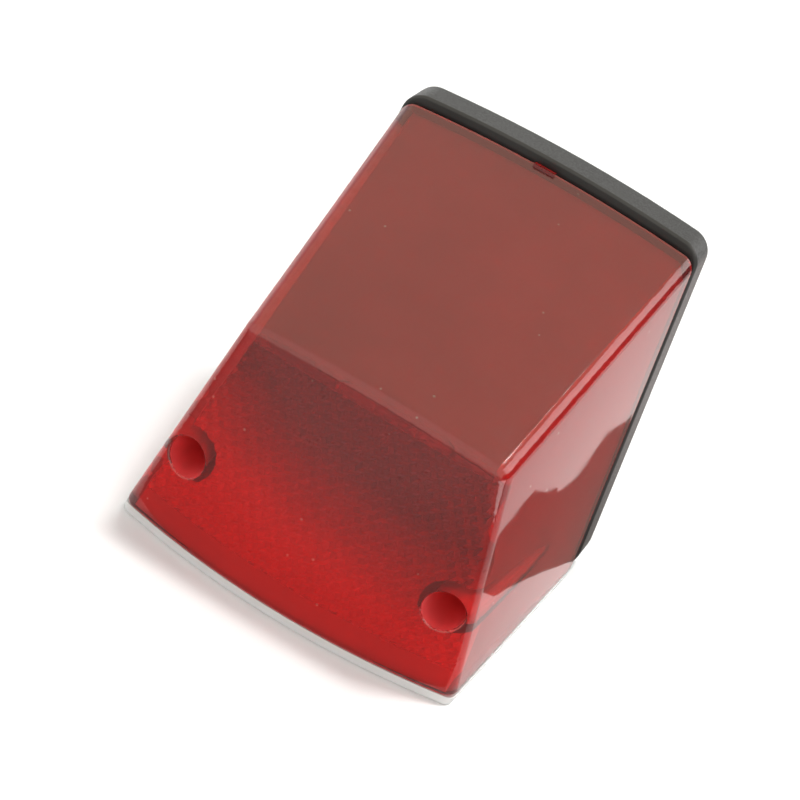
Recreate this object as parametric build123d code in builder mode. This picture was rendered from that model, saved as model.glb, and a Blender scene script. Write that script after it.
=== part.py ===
from build123d import *
import os
from math import cos, sin, sqrt, radians

os.makedirs("parts", exist_ok=True)

# ---------------------------------------------------------------------------
# Moped rear lamp: moulded base tray, one-piece red lens with a number-plate
# window underneath, two-filament bayonet bulb, two long-recess lens screws.
#
# Frame (millimetres): X across the lamp, -Y towards the rider behind (the
# lens front), +Z up.  The origin is the centre of the mounting face, which is
# the back plane of the tray at y = 0.  The lamp's underside is z = Z_BOT.
# ---------------------------------------------------------------------------

# overall lens
Z_BOT, Z_TOP = -36.0, 36.0
Y_RIM = -9.4               # back rim of the lens
A_X = 31.0                 # half width at the top of the back rim
B_X, B_Y, B_Z = 25.9, -68.1, 10.5   # ridge between top slope and front face
C_X, C_Y = 35.0, -67.6     # front bottom corners
BOW = 5.4                  # how far the front bottom edge bows out
D_X = 37.1                 # half width at the bottom of the back rim
WALL = 2.4
EDGE_R = 3.0
WIN_T = 1.8                # number-plate window thickness
CROWN = 1.6                # rise of the arched top at the back rim
LIFT = 3.0                 # extra height of the lofts before the arch trims them

# base tray
TRAY_D = 8.4
TRAY_BX, TRAY_TX, TRAY_TZ = 37.5, 31.25, 37.9
TRAY_BACK = 2.5
TRAY_WALL = 3.2
LEDGE = 1.2

# lens screws
S_X, S_Z = 26.4, -18.4
TUBE_R, BORE_R = 5.2, 3.75
MOUTH_R = 0.4              # rounding of the recess mouths
FLOOR_Y = -13.4
FLOOR_HOLE_R = 2.2
POST_R, POST_END = 4.5, -9.0
SCREW_R, HEAD_R, HEAD_H = 1.95, 3.5, 2.6
WASHER_T = 0.8
INSERT_R, INSERT_L = 2.95, 5.8

# bulb holder and bulb
AX_Z = -4.0
SHELL_RI, SHELL_RO, SHELL_END = 7.7, 8.4, -21.0
FLANGE_R, FLANGE_T = 12.0, 0.8
RIVET_X = 10.2
STRAP_T = 0.5
CARRIER_R = 7.45
PUSH = 1.5                 # bulb travel against the contact spring
PIN_Y, PIN_R = -16.4, 1.0
CONTACT_X = 3.2

# mounting studs and cable grommet
STUD_X, STUD_Z, STUD_R, STUD_OUT = 20.0, 17.0, 2.5, 14.0
STUD_HEAD_AF, STUD_HEAD_H = 8.0, 3.5
STUD_NECK = 2.9            # plain neck of the stud inside the tray wall
CABLE_Z, CABLE_R = -23.2, 3.0

# planes looking out of the lamp's back: local x = +X, local y = +Z,
# extrude(+) goes towards -Y
def face_at(y, x=0.0, z=0.0):
    return Plane(origin=(x, y, z), x_dir=(1, 0, 0), z_dir=(0, -1, 0))

# slanted top of the lens: line from (Y_RIM, Z_TOP) to (B_Y, B_Z)
SL = sqrt((B_Y - Y_RIM) ** 2 + (B_Z - Z_TOP) ** 2)
UY, UZ = (B_Y - Y_RIM) / SL, (B_Z - Z_TOP) / SL       # unit, down the slope
NY, NZ = UZ, -UY                                       # outward normal (y, z)
if NZ < 0:
    NY, NZ = -NY, -NZ


def slope_plane(y, z):
    # local x = +X, local y points from the ridge up to the back rim
    return Plane(origin=(0, y, z), x_dir=(1, 0, 0), z_dir=(0, NY, NZ))


# the arched top: a cylinder of radius CROWN_R that runs down the slope
CROWN_R = (A_X ** 2 + CROWN ** 2) / (2 * CROWN)
CROWN_SLOPE = ((B_Z + B_X ** 2 / (2 * CROWN_R)) - (Z_TOP + CROWN)) / (B_Y - Y_RIM)
CROWN_DIR = Vector(0, -1, -CROWN_SLOPE).normalized()


def arch(x, top):
    return top - CROWN_R + sqrt(CROWN_R ** 2 - x ** 2)


# ---------------------------------------------------------------------------
# outer form of the lens, a ruled solid between its footprint and its top face
# ---------------------------------------------------------------------------
with BuildPart() as outer_form:
    with BuildSketch(Plane.XY.offset(Z_BOT)):
        with BuildLine():
            Line((-D_X, Y_RIM), (-C_X, C_Y))
            ThreePointArc((-C_X, C_Y), (0, C_Y - BOW), (C_X, C_Y))
            Line((C_X, C_Y), (D_X, Y_RIM))
            Line((D_X, Y_RIM), (-D_X, Y_RIM))
        make_face()
    with BuildSketch(slope_plane(Y_RIM, Z_TOP + LIFT)):
        AL, BL = A_X - 0.085 * LIFT, B_X - 0.196 * LIFT
        with BuildLine():
            Line((-AL, 0), (-BL, -SL))
            Line((-BL, -SL), (BL, -SL))
            Line((BL, -SL), (AL, 0))
            Line((AL, 0), (-AL, 0))
        make_face()
    loft(ruled=True)
    with BuildSketch(face_at(Y_RIM + 4)):
        TOP_C = Z_TOP + CROWN + 4 * CROWN_SLOPE
        with BuildLine():
            ThreePointArc((-45, arch(45, TOP_C)), (0, TOP_C), (45, arch(45, TOP_C)))
            Polyline((45, arch(45, TOP_C)), (45, -90), (-45, -90), (-45, arch(45, TOP_C)))
        make_face()
    extrude(amount=95, dir=CROWN_DIR, mode=Mode.INTERSECT)
    long_edges = [
        e for e in outer_form.edges()
        if min(v.Z for v in e.vertices()) > B_Z - 0.8
        and min(v.Y for v in e.vertices()) < Y_RIM - 5
    ] + [
        e for e in outer_form.edges()
        if abs(max(v.Z for v in e.vertices()) - B_Z) < 0.6
        and min(v.Z for v in e.vertices()) < Z_BOT + 0.2
        and max(v.Y for v in e.vertices()) < Y_RIM - 5
    ]
    fillet(long_edges, radius=EDGE_R)
    # leave room for the window under the lens
    split(bisect_by=Plane.XY.offset(Z_BOT + WIN_T), keep=Keep.TOP)
    foot = [
        e for e in outer_form.edges().group_by(Axis.Z)[0]
        if min(v.Y for v in e.vertices()) < Y_RIM - 3
    ]
    fillet(foot, radius=1.0)

# inner cavity, open at the back and at the bottom
iy, iz = -WALL * NY, -WALL * NZ                        # slope moved inwards
slope = UZ / UY                                        # dz/dy on the slope
IB_Y = B_Y + WALL
IB_Z = Z_TOP + iz + (IB_Y - (Y_RIM + iy)) * slope
BACK = Y_RIM + 3.0
IA_Z = Z_TOP + iz + (BACK - (Y_RIM + iy)) * slope
ISL = sqrt((IB_Y - BACK) ** 2 + (IB_Z - IA_Z) ** 2)
with BuildPart() as cavity:
    with BuildSketch(Plane.XY.offset(Z_BOT - 4)):
        with BuildLine():
            Line((-(D_X - WALL + 0.4), BACK), (-(C_X - WALL + 0.8), C_Y + WALL))
            ThreePointArc((-(C_X - WALL + 0.8), C_Y + WALL), (0, C_Y + WALL - BOW - 0.4), (C_X - WALL + 0.8, C_Y + WALL))
            Line((C_X - WALL + 0.8, C_Y + WALL), (D_X - WALL + 0.4, BACK))
            Line((D_X - WALL + 0.4, BACK), (-(D_X - WALL + 0.4), BACK))
        make_face()
    with BuildSketch(slope_plane(BACK, IA_Z + LIFT)):
        IAL, IBL = A_X - WALL + 0.2 - 0.085 * LIFT, B_X - WALL - 0.196 * LIFT
        with BuildLine():
            Line((-IAL, 0), (-IBL, -ISL))
            Line((-IBL, -ISL), (IBL, -ISL))
            Line((IBL, -ISL), (IAL, 0))
            Line((IAL, 0), (-IAL, 0))
        make_face()
    loft(ruled=True)
    with BuildSketch(face_at(Y_RIM + 6)):
        TOP_I = Z_TOP + CROWN + 6 * CROWN_SLOPE - WALL / NZ
        with BuildLine():
            ThreePointArc((-45, arch(45, TOP_I)), (0, TOP_I), (45, arch(45, TOP_I)))
            Polyline((45, arch(45, TOP_I)), (45, -90), (-45, -90), (-45, arch(45, TOP_I)))
        make_face()
    extrude(amount=95, dir=CROWN_DIR, mode=Mode.INTERSECT)

# screw tubes, trimmed by the outer form
with BuildPart() as tubes:
    with BuildSketch(face_at(Y_RIM)):
        with Locations((-S_X, S_Z), (S_X, S_Z)):
            Circle(TUBE_R)
    extrude(amount=70)
    add(outer_form.part, mode=Mode.INTERSECT)

with BuildPart() as lens_hood:
    add(outer_form.part)
    add(cavity.part, mode=Mode.SUBTRACT)
    add(tubes.part)
    # long recesses from the front, a floor, and the clearance holes
    with BuildSketch(face_at(FLOOR_Y)):
        with Locations((-S_X, S_Z), (S_X, S_Z)):
            Circle(BORE_R)
    extrude(amount=70, mode=Mode.SUBTRACT)
    with BuildSketch(face_at(Y_RIM + 1)):
        with Locations((-S_X, S_Z), (S_X, S_Z)):
            Circle(FLOOR_HOLE_R)
    extrude(amount=7, mode=Mode.SUBTRACT)
    # small catch on the top of the back rim
    with BuildSketch(face_at(Y_RIM)):
        with Locations((-1.5, Z_TOP + CROWN - 0.5)):
            Rectangle(4.4, 1.7)
    extrude(amount=0.9)
    mouths = [
        e for e in lens_hood.edges()
        if all((e @ t).Y < -60 and abs(sqrt((abs((e @ t).X) - S_X) ** 2 + ((e @ t).Z - S_Z) ** 2) - BORE_R) < 0.02 for t in (0, 0.3, 0.5, 0.8, 1))
    ]
    fillet(mouths, radius=MOUTH_R)
    lens_hood.part.label = "lens_hood"
export_step(lens_hood.part, "parts/lens_hood.step")

# ---------------------------------------------------------------------------
# clear window that lights the number plate, cemented under the lens
# ---------------------------------------------------------------------------
WIN_IN = 0.5
with BuildPart() as plate_window:
    with BuildSketch(Plane.XY.offset(Z_BOT)):
        with BuildLine():
            Line((-(D_X - WIN_IN), Y_RIM), (-(C_X - WIN_IN), C_Y + WIN_IN))
            ThreePointArc((-(C_X - WIN_IN), C_Y + WIN_IN), (0, C_Y + 0.8 - BOW), (C_X - WIN_IN, C_Y + WIN_IN))
            Line((C_X - WIN_IN, C_Y + WIN_IN), (D_X - WIN_IN, Y_RIM))
            Line((D_X - WIN_IN, Y_RIM), (-(D_X - WIN_IN), Y_RIM))
        make_face()
    extrude(amount=WIN_T)
    front_corners = plate_window.edges().filter_by(Axis.Z).group_by(Axis.Y)[0]
    fillet(front_corners, radius=2.0)
    fillet(plate_window.edges().group_by(Axis.Z)[0], radius=0.4)
    plate_window.part.label = "plate_window"
export_step(plate_window.part, "parts/plate_window.step")

# ---------------------------------------------------------------------------
# base tray
# ---------------------------------------------------------------------------
def tray_pts(inset):
    # trapezoid outline moved inwards by inset (the sides lean only 5 degrees)
    lean = (TRAY_BX - TRAY_TX) / (TRAY_TZ - Z_BOT)
    zb, zt = Z_BOT + inset, TRAY_TZ - inset
    xb = TRAY_BX - lean * inset - inset * sqrt(1 + lean ** 2)
    xt = TRAY_TX + lean * inset - inset * sqrt(1 + lean ** 2)
    return [(-xb, zb), (xb, zb), (xt, zt), (-xt, zt)]


def tray_wire(inset):
    # the same outline with its top side arched like the lens
    a, b, c, d = tray_pts(inset)
    Polyline(d, a, b, c)
    ThreePointArc(c, (0, c[1] + CROWN * (c[0] / TRAY_TX) ** 2), d)


with BuildPart() as base_tray:
    with BuildSketch(face_at(0)) as tray_outline:
        with BuildLine():
            tray_wire(0)
        make_face()
        fillet(tray_outline.vertices().group_by(Axis.Y)[0], radius=6.0)
        fillet(tray_outline.vertices().group_by(Axis.Y)[-1], radius=4.5)
    extrude(amount=TRAY_D)
    fillet(base_tray.edges().group_by(Axis.Y)[-1], radius=1.2)
    fillet(base_tray.edges().group_by(Axis.Y)[0], radius=0.6)
    # deep pocket
    with BuildSketch(face_at(-TRAY_BACK)) as pocket:
        with BuildLine():
            tray_wire(TRAY_WALL + LEDGE)
        make_face()
        fillet(pocket.vertices(), radius=2.0)
    extrude(amount=TRAY_D, mode=Mode.SUBTRACT)
    # shallow step that the reflector sits on
    with BuildSketch(face_at(-7.2)) as step:
        with BuildLine():
            tray_wire(TRAY_WALL)
        make_face()
        fillet(step.vertices(), radius=2.4)
    extrude(amount=TRAY_D, mode=Mode.SUBTRACT)
    # screw posts
    with BuildSketch(face_at(-TRAY_BACK)):
        with Locations((-S_X, S_Z), (S_X, S_Z)):
            Circle(POST_R)
    extrude(amount=-POST_END - TRAY_BACK)
    with BuildSketch(face_at(POST_END)):
        with Locations((-S_X, S_Z), (S_X, S_Z)):
            Circle(3.0)
    extrude(amount=-(INSERT_L + 0.1), mode=Mode.SUBTRACT)
    with BuildSketch(face_at(POST_END)):
        with Locations((-S_X, S_Z), (S_X, S_Z)):
            Circle(2.1)
    extrude(amount=-(INSERT_L + 0.9), mode=Mode.SUBTRACT)
    # stud holes
    with BuildSketch(face_at(1)):
        with Locations((-STUD_X, STUD_Z), (STUD_X, STUD_Z)):
            Circle(STUD_NECK + 0.05)
    extrude(amount=TRAY_BACK + 2, mode=Mode.SUBTRACT)
    # rivet holes with recesses in the mounting face
    with BuildSketch(face_at(1)):
        with Locations((-RIVET_X, AX_Z), (RIVET_X, AX_Z)):
            Circle(1.25)
    extrude(amount=TRAY_BACK + 2, mode=Mode.SUBTRACT)
    with BuildSketch(face_at(1)):
        with Locations((-RIVET_X, AX_Z), (RIVET_X, AX_Z)):
            Circle(2.2)
    extrude(amount=2.1, mode=Mode.SUBTRACT)
    # cable hole
    with BuildSketch(face_at(1)):
        with Locations((0, CABLE_Z)):
            Circle(5.0)
    extrude(amount=TRAY_BACK + 2, mode=Mode.SUBTRACT)
    with BuildSketch(face_at(1)):
        with Locations((0, CABLE_Z)):
            Circle(7.0)
    extrude(amount=2.3, mode=Mode.SUBTRACT)
    base_tray.part.label = "base_tray"
export_step(base_tray.part, "parts/base_tray.step")

# foam seal between tray and lens
with BuildPart() as lens_gasket:
    with BuildSketch(face_at(-TRAY_D)) as seal:
        with BuildLine():
            Polyline((-A_X + 0.5, Z_TOP - 0.5), (-D_X + 0.5, Z_BOT + 0.6), (D_X - 0.5, Z_BOT + 0.6), (A_X - 0.5, Z_TOP - 0.5))
            ThreePointArc((A_X - 0.5, Z_TOP - 0.5), (0, Z_TOP + CROWN - 0.5), (-A_X + 0.5, Z_TOP - 0.5))
        make_face()
        fillet(seal.vertices(), radius=2.5)
        with BuildLine():
            Polyline((-A_X + 2.8, Z_TOP - 2.8), (-D_X + 2.8, Z_BOT + 2.9), (D_X - 2.8, Z_BOT + 2.9), (A_X - 2.8, Z_TOP - 2.8))
            ThreePointArc((A_X - 2.8, Z_TOP - 2.8), (0, Z_TOP + CROWN - 2.9), (-A_X + 2.8, Z_TOP - 2.8))
        make_face(mode=Mode.SUBTRACT)
    extrude(amount=-Y_RIM - TRAY_D)
    lens_gasket.part.label = "lens_gasket"
export_step(lens_gasket.part, "parts/lens_gasket.step")

# ---------------------------------------------------------------------------
# reflector: aluminised sheet with a dish around the bulb holder
# ---------------------------------------------------------------------------
DISH_R, DISH_HOLE, REF_T = 21.5, 12.6, 0.8
with BuildPart() as reflector:
    with BuildSketch(face_at(-7.2)) as panel:
        with BuildLine():
            tray_wire(TRAY_WALL + 0.3)
        make_face()
        fillet(panel.vertices(), radius=2.2)
        with Locations((0, AX_Z)):
            Circle(DISH_R, mode=Mode.SUBTRACT)
        with Locations((-S_X, S_Z), (S_X, S_Z)):
            Circle(POST_R + 0.4, mode=Mode.SUBTRACT)
    extrude(amount=REF_T)
    with BuildSketch(Plane(origin=(0, 0, AX_Z), x_dir=(1, 0, 0), z_dir=(0, 0, 1))):
        with BuildLine():
            Line((DISH_R + 0.01, -7.2), (DISH_R + 0.01, -8.0))
            ThreePointArc((DISH_R + 0.01, -8.0), (17.6, -6.3), (DISH_HOLE, -5.4))
            Line((DISH_HOLE, -5.4), (DISH_HOLE, -4.6))
            ThreePointArc((DISH_HOLE, -4.6), (17.9, -5.6), (DISH_R + 0.01, -7.2))
        make_face()
    revolve(axis=Axis((0, 0, AX_Z), (0, 1, 0)), revolution_arc=360)
    reflector.part.label = "reflector"
export_step(reflector.part, "parts/reflector.step")

# ---------------------------------------------------------------------------
# bulb holder: flanged shell with two bayonet slots
# ---------------------------------------------------------------------------
SLOT = 1.2                 # half width of the slots
with BuildPart() as socket_shell:
    with BuildSketch(face_at(-TRAY_BACK, z=AX_Z)):
        Circle(FLANGE_R)
        Circle(SHELL_RI, mode=Mode.SUBTRACT)
    extrude(amount=FLANGE_T)
    with BuildSketch(face_at(-TRAY_BACK, z=AX_Z)):
        Circle(SHELL_RO)
        Circle(SHELL_RI, mode=Mode.SUBTRACT)
    extrude(amount=-SHELL_END - TRAY_BACK)
    with BuildSketch(face_at(-TRAY_BACK + 1, z=AX_Z)):
        with Locations((-RIVET_X, 0), (RIVET_X, 0)):
            Circle(1.25)
    extrude(amount=3, mode=Mode.SUBTRACT)
    # notches where the bulb pins rest, on the +X and -X sides
    with BuildSketch(Plane(origin=(0, 0, AX_Z), x_dir=(0, 1, 0), z_dir=(1, 0, 0))):
        with Locations(((PIN_Y - PIN_R - 0.1 + PIN_Y + PUSH + PIN_R + 0.2) / 2, 0)):
            Rectangle(2 * PIN_R + PUSH + 0.3, 2 * SLOT)
    extrude(amount=20, both=True, mode=Mode.SUBTRACT)
    # entry slots, turned 40 degrees from the notches
    with BuildSketch(Plane(origin=(0, 0, AX_Z), x_dir=(0, 1, 0), z_dir=(cos(radians(40)), 0, sin(radians(40))))):
        with Locations(((SHELL_END - 1 + PIN_Y + PUSH + PIN_R + 0.2) / 2, 0)):
            Rectangle(abs(SHELL_END - 1 - (PIN_Y + PUSH + PIN_R + 0.2)), 2 * SLOT)
    extrude(amount=20, both=True, mode=Mode.SUBTRACT)
    # cross slots that join them: a pie slice between the two directions
    with BuildSketch(face_at(PIN_Y + PUSH + PIN_R + 0.2, z=AX_Z)):
        with BuildLine():
            Polyline((0, 0), (14, 0), (14 * cos(radians(20)), 14 * sin(radians(20))), (14 * cos(radians(40)), 14 * sin(radians(40))), close=True)
        make_face()
        with BuildLine():
            Polyline((0, 0), (-14, 0), (-14 * cos(radians(20)), -14 * sin(radians(20))), (-14 * cos(radians(40)), -14 * sin(radians(40))), close=True)
        make_face()
    extrude(amount=2 * PIN_R + 0.4, mode=Mode.SUBTRACT)
    socket_shell.part.label = "socket_shell"
export_step(socket_shell.part, "parts/socket_shell.step")

with BuildPart() as earth_strap:
    with BuildSketch(face_at(-TRAY_BACK - FLANGE_T, z=AX_Z)):
        Circle(11.9)
        with Locations((0, 13.4)):
            Rectangle(3.2, 6.0)
        Circle(8.6, mode=Mode.SUBTRACT)
        with Locations((-RIVET_X, 0), (RIVET_X, 0)):
            Circle(1.25, mode=Mode.SUBTRACT)
        with Locations((0, 14.6)):
            Circle(0.8, mode=Mode.SUBTRACT)
    extrude(amount=STRAP_T)
    earth_strap.part.label = "earth_strap"
export_step(earth_strap.part, "parts/earth_strap.step")

with BuildPart() as socket_rivets:
    with BuildSketch(face_at(0, z=AX_Z)):
        with Locations((-RIVET_X, 0), (RIVET_X, 0)):
            Circle(2.1)
    extrude(amount=1.1)
    with BuildSketch(face_at(-1.0, z=AX_Z)):
        with Locations((-RIVET_X, 0), (RIVET_X, 0)):
            Circle(1.2)
    extrude(amount=TRAY_BACK + FLANGE_T + STRAP_T - 1.0 + 0.1)
    with BuildSketch(face_at(-TRAY_BACK - FLANGE_T - STRAP_T, z=AX_Z)):
        with Locations((-RIVET_X, 0), (RIVET_X, 0)):
            Circle(1.75)
    extrude(amount=0.9)
    fillet(socket_rivets.edges().group_by(Axis.Y)[0], radius=0.5)
    socket_rivets.part.label = "socket_rivets"
export_step(socket_rivets.part, "parts/socket_rivets.step")

# sliding contact carrier
CAR_F, CAR_T = -8.6, 2.0
with BuildPart() as contact_carrier:
    with BuildSketch(face_at(CAR_F + CAR_T, z=AX_Z)):
        Circle(CARRIER_R)
        with Locations((-CONTACT_X, 0), (CONTACT_X, 0)):
            Circle(1.05, mode=Mode.SUBTRACT)
    extrude(amount=CAR_T)
    fillet(contact_carrier.edges().filter_by(GeomType.CIRCLE).sort_by(lambda e: e.radius)[-2:], radius=0.3)
    contact_carrier.part.label = "contact_carrier"
export_step(contact_carrier.part, "parts/contact_carrier.step")

with BuildPart() as contact_pips:
    with BuildSketch(face_at(CAR_F, z=AX_Z)):
        with Locations((-CONTACT_X, 0), (CONTACT_X, 0)):
            Circle(1.6)
    extrude(amount=0.8)
    fillet(contact_pips.edges().group_by(Axis.Y)[0], radius=0.6)
    with BuildSketch(face_at(CAR_F + CAR_T + 0.9, z=AX_Z)):
        with Locations((-CONTACT_X, 0), (CONTACT_X, 0)):
            Circle(1.0)
    extrude(amount=CAR_T + 0.9 + 0.1)
    contact_pips.part.label = "contact_pips"
export_step(contact_pips.part, "parts/contact_pips.step")

# contact spring, 2.5 open turns
SP_R, SP_W = 6.3, 0.3
SP_Y0, SP_Y1 = -TRAY_BACK - SP_W - 0.02, CAR_F + CAR_T + SP_W + 0.02
with BuildPart() as contact_spring:
    with BuildLine() as coil:
        Helix(pitch=(SP_Y0 - SP_Y1) / 2.5, height=SP_Y0 - SP_Y1, radius=SP_R, center=(0, SP_Y0, AX_Z), direction=(0, -1, 0))
    with BuildSketch(Plane(origin=coil.line @ 0, z_dir=coil.line % 0)):
        Circle(SP_W)
    sweep(path=coil.line, is_frenet=True)
    contact_spring.part.label = "contact_spring"
export_step(contact_spring.part, "parts/contact_spring.step")

# ---------------------------------------------------------------------------
# two-filament bulb
# ---------------------------------------------------------------------------
bulb_plane = Plane(origin=(0, 0, AX_Z), x_dir=(1, 0, 0), z_dir=(0, 0, 1))
bulb_axis = Axis((0, 0, AX_Z), (0, 1, 0))
CAP_R, CAP_BACK, CAP_FRONT = 7.5, -10.7, -25.6
with BuildPart() as bulb_cap:
    with BuildSketch(bulb_plane):
        with BuildLine():
            Polyline((CAP_R, CAP_BACK + 0.2), (CAP_R, CAP_FRONT), (7.1, CAP_FRONT), (7.1, CAP_BACK - 0.6), (5.2, CAP_BACK - 0.6), (5.2, CAP_BACK + 0.2), close=True)
        make_face()
    revolve(axis=bulb_axis, revolution_arc=360)
    fillet(bulb_cap.edges().filter_by(GeomType.CIRCLE).group_by(Axis.Y)[-1].sort_by(lambda e: e.radius)[-1], radius=0.35)
    bulb_cap.part.label = "bulb_cap"
export_step(bulb_cap.part, "parts/bulb_cap.step")

with BuildPart() as bulb_pins:
    with BuildSketch(Plane(origin=(CAP_R, PIN_Y, AX_Z), z_dir=(1, 0, 0))):
        Circle(PIN_R)
    extrude(amount=1.2)
    with BuildSketch(Plane(origin=(-CAP_R, PIN_Y, AX_Z), z_dir=(-1, 0, 0))):
        Circle(PIN_R)
    extrude(amount=1.2)
    bulb_pins.part.label = "bulb_pins"
export_step(bulb_pins.part, "parts/bulb_pins.step")

with BuildPart() as bulb_insulator:
    with BuildSketch(face_at(CAP_BACK + 0.7, z=AX_Z)):
        Circle(5.1)
    extrude(amount=1.3)
    with BuildSketch(face_at(CAP_BACK + 0.7, z=AX_Z)):
        with Locations((-CONTACT_X, 0), (CONTACT_X, 0)):
            Circle(1.35)
    extrude(amount=0.6, mode=Mode.SUBTRACT)
    bulb_insulator.part.label = "bulb_insulator"
export_step(bulb_insulator.part, "parts/bulb_insulator.step")

with BuildPart() as bulb_solder_contacts:
    with BuildSketch(face_at(CAP_BACK + 1.25, z=AX_Z)):
        with Locations((-CONTACT_X, 0), (CONTACT_X, 0)):
            Circle(1.3)
    extrude(amount=1.1)
    fillet(bulb_solder_contacts.edges().group_by(Axis.Y)[-1], radius=0.4)
    bulb_solder_contacts.part.label = "bulb_solder_contacts"
export_step(bulb_solder_contacts.part, "parts/bulb_solder_contacts.step")

GL = 0.7                   # glass wall
G_CY, G_R = -45.0, 12.4    # globe centre and radius
with BuildPart() as bulb_glass:
    with BuildSketch(bulb_plane):
        with BuildLine():
            Line((6.9, -19.0), (6.9, -27.0))
            Spline((6.9, -27.0), (9.4, -33.2), (12.4, -45.0), tangents=[(0, -1), (0, -1)])
            ThreePointArc((12.4, -45.0), (12.4 * cos(radians(45)), -45.0 - 12.4 * sin(radians(45))), (0, -57.4))
            Line((0, -57.4), (0, -57.4 + GL))
            ThreePointArc((0, -57.4 + GL), ((12.4 - GL) * cos(radians(45)), -45.0 - (12.4 - GL) * sin(radians(45))), (12.4 - GL, -45.0))
            Spline((12.4 - GL, -45.0), (9.4 - GL, -33.2), (6.9 - GL, -27.0), tangents=[(0, 1), (0, 1)])
            Line((6.9 - GL, -27.0), (6.9 - GL, -19.0))
            Line((6.9 - GL, -19.0), (6.9, -19.0))
        make_face()
    revolve(axis=bulb_axis, revolution_arc=360)
    bulb_glass.part.label = "bulb_glass"
export_step(bulb_glass.part, "parts/bulb_glass.step")

# pressed glass stem that carries the lead wires
with BuildPart() as bulb_stem:
    with BuildSketch(bulb_plane):
        with BuildLine():
            Line((0, -19.2), (6.0, -19.2))
            Line((6.0, -19.2), (6.0, -20.0))
            Spline((6.0, -20.0), (3.4, -23.0), (2.6, -30.0), tangents=[(-1, -0.2), (0, -1)])
            Line((2.6, -30.0), (2.2, -35.5))
            Line((2.2, -35.5), (0, -36.0))
            Line((0, -36.0), (0, -19.2))
        make_face()
    revolve(axis=bulb_axis, revolution_arc=360)
    bulb_stem.part.label = "bulb_stem"
export_step(bulb_stem.part, "parts/bulb_stem.step")

# lead wires: one pair to each filament, along X
LEAD_R = 0.3
leads = [(-4.0, -48.2, 1.6), (4.0, -48.2, 1.6), (-3.4, -43.2, -1.8), (3.4, -43.2, -1.8)]
with BuildPart() as bulb_leads:
    for lx, ly, lz in leads:
        k = 1 if lx > 0 else -1
        with BuildLine() as wire:
            Polyline((k * 1.2, -36.6, AX_Z + lz * 0.4), (lx, -39.5, AX_Z + lz), (lx, ly, AX_Z + lz))
        with BuildSketch(Plane(origin=wire.line @ 0, z_dir=wire.line % 0)):
            Circle(LEAD_R)
        sweep(path=wire.line, transition=Transition.RIGHT)
    bulb_leads.part.label = "bulb_leads"
export_step(bulb_leads.part, "parts/bulb_leads.step")

with BuildPart() as bulb_filaments:
    with BuildSketch(Plane(origin=(-3.69, -48.0 + 0.4, AX_Z + 1.6), z_dir=(1, 0, 0))):
        Circle(0.45)
    extrude(amount=7.38)
    with BuildSketch(Plane(origin=(-3.09, -43.0 + 0.4, AX_Z - 1.8), z_dir=(1, 0, 0))):
        Circle(0.4)
    extrude(amount=6.18)
    bulb_filaments.part.label = "bulb_filaments"
export_step(bulb_filaments.part, "parts/bulb_filaments.step")

# ---------------------------------------------------------------------------
# fasteners
# ---------------------------------------------------------------------------
HEAD_Y = FLOOR_Y - WASHER_T
SCREW_END = POST_END + INSERT_L + 0.2
for side, sx in (("left", -S_X), ("right", S_X)):
    with BuildPart() as lens_screw:
        with BuildSketch(face_at(HEAD_Y, sx, S_Z)):
            Circle(HEAD_R)
        extrude(amount=HEAD_H)
        fillet(lens_screw.edges().group_by(Axis.Y)[0], radius=0.5)
        with BuildSketch(face_at(SCREW_END, sx, S_Z)):
            Circle(SCREW_R)
        extrude(amount=SCREW_END - HEAD_Y)
        chamfer(lens_screw.edges().group_by(Axis.Y)[-1], length=0.5)
        with BuildSketch(face_at(HEAD_Y - HEAD_H + 1.2, sx, S_Z)):
            Rectangle(8, 1.2)
        extrude(amount=3, mode=Mode.SUBTRACT)
        lens_screw.part.label = "lens_screw_" + side
    export_step(lens_screw.part, "parts/lens_screw_" + side + ".step")

with BuildPart() as sealing_washers:
    with BuildSketch(face_at(FLOOR_Y)):
        with Locations((-S_X, S_Z), (S_X, S_Z)):
            Circle(3.45)
            Circle(2.1, mode=Mode.SUBTRACT)
    extrude(amount=WASHER_T - 0.02)
    sealing_washers.part.label = "sealing_washers"
export_step(sealing_washers.part, "parts/sealing_washers.step")

with BuildPart() as threaded_inserts:
    with BuildSketch(face_at(POST_END + INSERT_L)):
        with Locations((-S_X, S_Z), (S_X, S_Z)):
            Circle(INSERT_R)
            Circle(2.0, mode=Mode.SUBTRACT)
    extrude(amount=INSERT_L)
    threaded_inserts.part.label = "threaded_inserts"
export_step(threaded_inserts.part, "parts/threaded_inserts.step")

with BuildPart() as mounting_studs:
    with BuildSketch(face_at(-TRAY_BACK)):
        with Locations((-STUD_X, STUD_Z), (STUD_X, STUD_Z)):
            RegularPolygon(radius=STUD_HEAD_AF / 2, side_count=6, major_radius=False)
    extrude(amount=STUD_HEAD_H)
    with BuildSketch(face_at(STUD_OUT)):
        with Locations((-STUD_X, STUD_Z), (STUD_X, STUD_Z)):
            Circle(STUD_R)
    extrude(amount=STUD_OUT + 0.5)
    chamfer(mounting_studs.edges().group_by(Axis.Y)[-1], length=0.6)
    with BuildSketch(face_at(0)):
        with Locations((-STUD_X, STUD_Z), (STUD_X, STUD_Z)):
            Circle(STUD_NECK)
    extrude(amount=TRAY_BACK + 0.5)
    mounting_studs.part.label = "mounting_studs"
export_step(mounting_studs.part, "parts/mounting_studs.step")

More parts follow.
